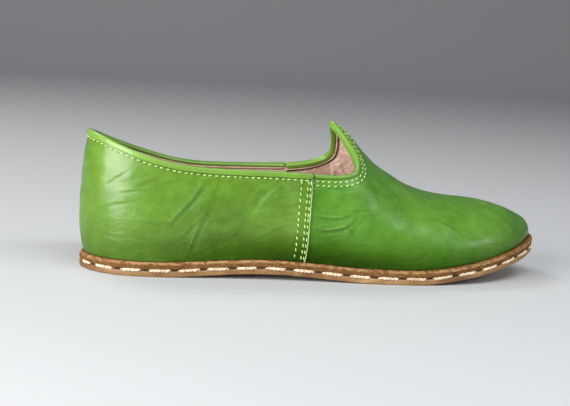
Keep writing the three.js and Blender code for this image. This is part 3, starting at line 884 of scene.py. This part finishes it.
def stitch_row(line, tree):
    """Paths of the stitches along a line on the surface, and the places of their holes."""
    ahead = np.gradient(line, axis=0)
    lengths = np.concatenate([[0], np.cumsum(np.linalg.norm(np.diff(line, axis=0), axis=1))])
    count = int(lengths[-1] / STITCH_PITCH)
    paths, holes = [], []
    for k in range(count):
        at = (k + 0.5) * lengths[-1] / count
        i = min(len(line) - 1, int(np.searchsorted(lengths, at)))
        place, normal = tree.find_nearest(Vector(line[i]))[:2]
        direction = Vector(ahead[i]).normalized()
        aside = normal.cross(direction).normalized()
        direction = (direction + aside * (SLANT + random.uniform(*SLANT_SHIFT))).normalized()
        length = STITCH_LENGTH * random.uniform(*LENGTH_SHARE)
        paths.append([
            (place + direction * t * length + normal * lift * THREAD, swell)
            for t, lift, swell in STITCH_SHAPE])
        between = place - direction * STITCH_PITCH * 0.5 + normal * HOLE_LIFT
        holes.append(placed(between, direction, normal, HOLE_SIZE))
    return paths, holes


# %% Where the rows run
QUARTER_ROW = 3.15 * MM  # each row's distance is from the edge that it follows
THROAT_ROWS = (3.0 * MM, 5.3 * MM)
SEAM_ROWS = (0.95 * MM, 2.5 * MM, 6.2 * MM)
SEAM_GAP = 3  # points of the top line that stay free on either side of a seam
ROW_FOOT = 10.5 * MM
ROW_TOP = 2.5 * MM
outside = surface_tree(upper.data, {VAMP, QUARTER, CUT})
seam_top = {side: line[-1] for side, line in seam_lines.items()}


def nearest_index(line, place):
    return int(np.linalg.norm(line - place, axis=1).argmin())


outer_seam, inner_seam = (nearest_index(top_line, seam_top[side]) for side in (OUTER, INNER))
throat_line = top_line[outer_seam + SEAM_GAP:inner_seam - SEAM_GAP]
quarter_line = np.vstack([top_line[inner_seam + SEAM_GAP:], top_line[:outer_seam - SEAM_GAP]])
rows = {"quarter": line_beside(quarter_line, outside, QUARTER_ROW)}
for number, away in enumerate(THROAT_ROWS):
    rows[f"throat_{number}"] = line_beside(throat_line, outside, away)
for side in (OUTER, INNER):
    seam = resample(seam_lines[side], LINE_STEP, False, 3)
    seam = seam[(seam[:, 2] > ROW_FOOT) & (seam[:, 2] < seam[-1, 2] - ROW_TOP)]
    for number, away in enumerate(SEAM_ROWS):
        rows[f"seam_{side}_{number}"] = line_beside(seam, outside, away, side)
print(len(rows), "rows")

# %% Top stitches and needle holes
paths, holes = [], []
for name, line in rows.items():
    more_paths, more_holes = stitch_row(line, outside)
    paths += more_paths
    holes += more_holes
    print("row", name, len(more_paths), "stitches")
dress(tubes("top_stitches", paths, THREAD), "binding_leather", pale_green)
dress(ellipsoids("needle_holes", holes, 1), "binding_leather", green_hole_shade)

# %% [markdown]
# ## Sole stitches
# The outsole is sewn to the rand by hand with a thick thread of two twisted plies. Each stitch
# lies in the groove between the layers and sinks into a slit at both ends. One thick tube with a
# bump would look smooth at its edge, so each ply is a tube of its own, wound round the other.

# %% The groove and one ply of a stitch
SOLE_STITCH_LENGTH = 11.2 * MM
SOLE_LENGTH_SHARE = (0.94, 1.04)
PLY = 0.6 * MM
PLY_OFFSET = 0.34 * MM
PLY_POINTS = 26
TWIST = 4.2 * MM  # the length of one turn
PROUD = 0.75 * MM  # how far the middle of a stitch stands out of the groove
SINK = 1.7 * MM
SINK_POWER = 6
GROOVE_LIFT = 0.15 * MM
groove = resample(anticlockwise(sole_rings["outsole"]), LINE_STEP, True, 12)
groove_ahead = np.roll(groove, -2, 0) - np.roll(groove, 2, 0)
groove_length = len(groove) * LINE_STEP
print("groove mm:", round(groove_length / MM, 1))


def groove_at(distance):
    """The place on the groove, with the directions along it and out of it."""
    i = int(round(distance / groove_length * len(groove))) % len(groove)
    ahead = Vector(groove_ahead[i]).normalized()
    outward = ahead.cross(UP).normalized()
    return Vector(groove[i]) + UP * GROOVE_LIFT, ahead, outward


def ply_path(at, length, tilt, phase):
    path = []
    for j in range(PLY_POINTS):
        t = j / (PLY_POINTS - 1) * 2 - 1
        place, _, outward = groove_at(at + t * length / 2)
        angle = phase + math.tau * t * length / 2 / TWIST
        centre = place + outward * (PROUD - SINK * abs(t) ** SINK_POWER) + UP * tilt * t
        centre += (outward * math.cos(angle) + UP * math.sin(angle)) * PLY_OFFSET
        path.append((centre, 1.0))
    return path


# %% Sole thread and slits
SOLE_STITCHES = 39
SOLE_START = 0.12
SOLE_TILT = 0.25
# Each slit is a dark ellipsoid in the groove, painted shade in the slit.
SLIT_SIZE = (1.45 * MM, 0.6 * MM, 0.55 * MM)
SLIT_SINK = 0.1 * MM
plies, slits = [], []
for k in range(SOLE_STITCHES):
    at = (k + SOLE_START) * groove_length / SOLE_STITCHES
    length = SOLE_STITCH_LENGTH * random.uniform(*SOLE_LENGTH_SHARE)
    tilt = random.uniform(-SOLE_TILT, SOLE_TILT) * MM
    phase = random.uniform(0, math.tau)
    plies += [ply_path(at, length, tilt, phase + ply) for ply in (0, math.pi)]
    place, ahead, outward = groove_at(at + groove_length / SOLE_STITCHES / 2)
    slits.append(placed(place - outward * SLIT_SINK, ahead, outward, SLIT_SIZE))
dress(tubes("sole_stitches", plies, PLY), "sole_leather", cream)
dress(ellipsoids("sole_slits", slits, 2), "sole_leather", dark_hole_shade)

# %% [markdown]
# ## Loose fibres
# The rand keeps its unfinished flesh side, so short fibres stand up from its torn upper edge. Hair
# particles could make them, but they don't become a mesh by themselves. So each is a thread with
# four points that leans out of the surface and thins towards its tip.

# %% Fibres on the rand's upper edge
FIBRES = 420
FIBRE = 0.06 * MM
FIBRE_LENGTH = (0.5 * MM, 1.4 * MM)
FIBRE_SPREAD = (-0.6 * MM, 2.2 * MM)  # from the rand's flat top, outwards
LEAN_OUT = (-0.3, 0.8)
LEAN_ALONG = (-1.3, 1.3)
CURL_ALONG = (-0.5, 0.5)
CURL_UP = (-0.2, 0.5)
FIBRE_POINTS = (0.0, 0.35, 0.7, 1.0)
TAPER = 0.7
torn_edge = resample(anticlockwise(sole_rings["rand"]), LINE_STEP, True, 4)
fibres = []
for _ in range(FIBRES):
    i = random.randrange(len(torn_edge))
    ahead = Vector(torn_edge[i] - torn_edge[i - 2]).normalized()
    outward = ahead.cross(UP).normalized()
    start = Vector(torn_edge[i]) + outward * random.uniform(*FIBRE_SPREAD)
    place, normal = rand_tree.find_nearest(start)[:2]
    lean = normal + outward * random.uniform(*LEAN_OUT) + ahead * random.uniform(*LEAN_ALONG)
    lean.normalize()
    curl = ahead * random.uniform(*CURL_ALONG) + UP * random.uniform(*CURL_UP)
    length = random.uniform(*FIBRE_LENGTH)
    fibres.append([
        (place + (lean + curl * t) * t * length, 1.0 - TAPER * t) for t in FIBRE_POINTS])
dress(tubes("rand_fibres", fibres, FIBRE), "rand_leather", fibre_tan)

# %% [markdown]
# ## Edge of the lining
# Inside, the lining is turned under just below the bindings, where it shows as a tan line with a
# painted shadow under it. Both are beads laid along the rim: the shadow is a dark brown bead sunk into
# the wall.

# %% Lining's turned edge and the painted shadow below it
EDGE_BEAD = 0.6 * MM
INNER_DROPS = {"quarter": 1.55 * MM, "throat": 2.75 * MM}
SHADOW_BEAD = 0.75 * MM
SHADOW_SINK = 0.45 * MM
SHADOW_DROP = 1.05 * MM
SHADOW_SHARE = {"quarter": 0.75, "throat": 1.0}
inside = surface_tree(upper.data, {LINING})
inner_top = resample(rim_lines["top", "inside"], LINE_STEP, True, 4)
outer_seam, inner_seam = (nearest_index(inner_top, seam_top[side]) for side in (OUTER, INNER))
inner_parts = {
    "throat": inner_top[outer_seam:inner_seam],
    "quarter": np.vstack([inner_top[inner_seam:], inner_top[:outer_seam]]),
}
beads, shadows = [], []
for name, part in inner_parts.items():
    line = line_beside(part, inside, INNER_DROPS[name], -1)
    below = line_beside(part, inside, INNER_DROPS[name] + SHADOW_DROP, -1)
    beads.append([(Vector(p), 1.0) for p in line[::2]])
    sunk = [Vector(p) - inside.find_nearest(Vector(p))[1] * SHADOW_SINK for p in below[::2]]
    shadows.append([(p, SHADOW_SHARE[name]) for p in sunk])
dress(tubes("lining_edge", beads, EDGE_BEAD), "upper_leather", turned_tan)
dress(tubes("lining_painted_shadow", shadows, SHADOW_BEAD), "upper_leather", painted_shadow_brown)

# %% [markdown]
# ## Floor
# The shoe stands on grey paper that sweeps up behind it, as in a photo studio. One square with its
# back edge drawn up and the fold rounded off is enough, and it gives a background without a line.

# %% Floor
FLOOR_SIZE = 3.0
SWEEP_RADIUS = 1.2
SWEEP_STEPS = 24
FLOOR_LEVEL = 10 * MM  # what is lower than this lies on the floor
FLOOR_ROUGHNESS = 0.7
FLOOR_GREY = (0.5, 0.5, 0.5, 1.0)
paper = bmesh.new()
bmesh.ops.create_grid(paper, x_segments=1, y_segments=1, size=FLOOR_SIZE)
back = [e for e in paper.edges if all(v.co.y > 0 for v in e.verts)]
raised = bmesh.ops.extrude_edge_only(paper, edges=back)["geom"]
raised = [v for v in raised if isinstance(v, bmesh.types.BMVert)]
bmesh.ops.translate(paper, verts=raised, vec=(0, 0, FLOOR_SIZE))
fold = [e for e in paper.edges if all(v.co.y > 0 and v.co.z < FLOOR_LEVEL for v in e.verts)]
bmesh.ops.bevel(
    paper, geom=fold, offset=SWEEP_RADIUS, offset_type="OFFSET", segments=SWEEP_STEPS, profile=0.5,
    affect="EDGES", material=-1)
floor = to_object(paper, "floor")
for face in floor.data.polygons:
    face.use_smooth = True
floor_paper, _, floor_surface = shader("floor_paper", FLOOR_ROUGHNESS)
floor_surface.inputs["Base Color"].default_value = FLOOR_GREY
floor.data.materials.append(floor_paper)
print("floor:", len(floor.data.polygons), "faces")

# %% [markdown]
# ## Light
# The photo has a large soft light from the heel's side, which draws the long highlights, a small
# one at the toe and a weak wash from above. Area lights give these as soft shapes in the leather's
# sheen. A faint sky fills the shadows.

# %% Light
SKY = (0.9, 0.93, 1.0, 1.0)
SKY_STRENGTH = 0.25
world = bpy.data.worlds.new("studio")
bpy.context.scene.world = world
world.use_nodes = True
world.node_tree.nodes["Background"].inputs["Color"].default_value = SKY
world.node_tree.nodes["Background"].inputs["Strength"].default_value = SKY_STRENGTH
bpy.context.scene.view_settings.view_transform = "Standard"


def area_light(name, place, target, size, power, colour=(1, 1, 1)):
    lamp = bpy.data.lights.new(name, "AREA")
    lamp.shape = "RECTANGLE"
    lamp.size, lamp.size_y = size
    lamp.energy = power
    lamp.color = colour
    made = bpy.data.objects.new(name, lamp)
    bpy.context.scene.collection.objects.link(made)
    made.location = place
    made.rotation_mode = "QUATERNION"
    made.rotation_quaternion = (Vector(target) - Vector(place)).to_track_quat("-Z", "Y")
    print(name, power, "watts")


area_light("softbox_left", (-0.92, -0.64, 0.36), (-0.1, 0, 0.04), (0.92, 0.64), 21.0)
area_light("softbox_right", (0.95, -0.5, 0.5), (0.1, 0, 0.03), (0.34, 0.34), 3.4)
area_light("softbox_top", (0.15, -0.75, 1.1), (0.03, 0, 0.04), (1.3, 0.3), 11.0, (0.9, 0.96, 1.0))
area_light("softbox_back", (-0.45, 0.65, 1.1), (0.0, 0, 0.05), (0.7, 0.4), 6.0)

# %% [markdown]
# ## Camera
# The camera stands where the photo was taken from: on the outer side, a little towards the heel,
# a little above, and rolled. The angles and the place were fitted to the outline in the photo.

# %% Camera
YAW, ELEVATION, ROLL = (math.radians(a) for a in (15.0, 8.0, 3.76))
PLACE = Vector((-0.22288, -0.76174, 0.14826))
LENS = 88.27
SENSOR = 36.0
look = Vector((
    math.sin(YAW) * math.cos(ELEVATION),
    math.cos(YAW) * math.cos(ELEVATION),
    -math.sin(ELEVATION)))
level = look.cross(UP).normalized()
upright = level.cross(look)
right = level * math.cos(ROLL) + upright * math.sin(ROLL)
up = upright * math.cos(ROLL) - level * math.sin(ROLL)
lens = bpy.data.cameras.new("camera")
lens.lens = LENS
lens.sensor_width = SENSOR
camera = bpy.data.objects.new("camera", lens)
bpy.context.scene.collection.objects.link(camera)
turn = Matrix((right, up, -look)).transposed()
camera.matrix_world = Matrix.Translation(PLACE) @ turn.to_4x4()
bpy.context.scene.camera = camera
print("camera looks along", tuple(round(c, 3) for c in look))
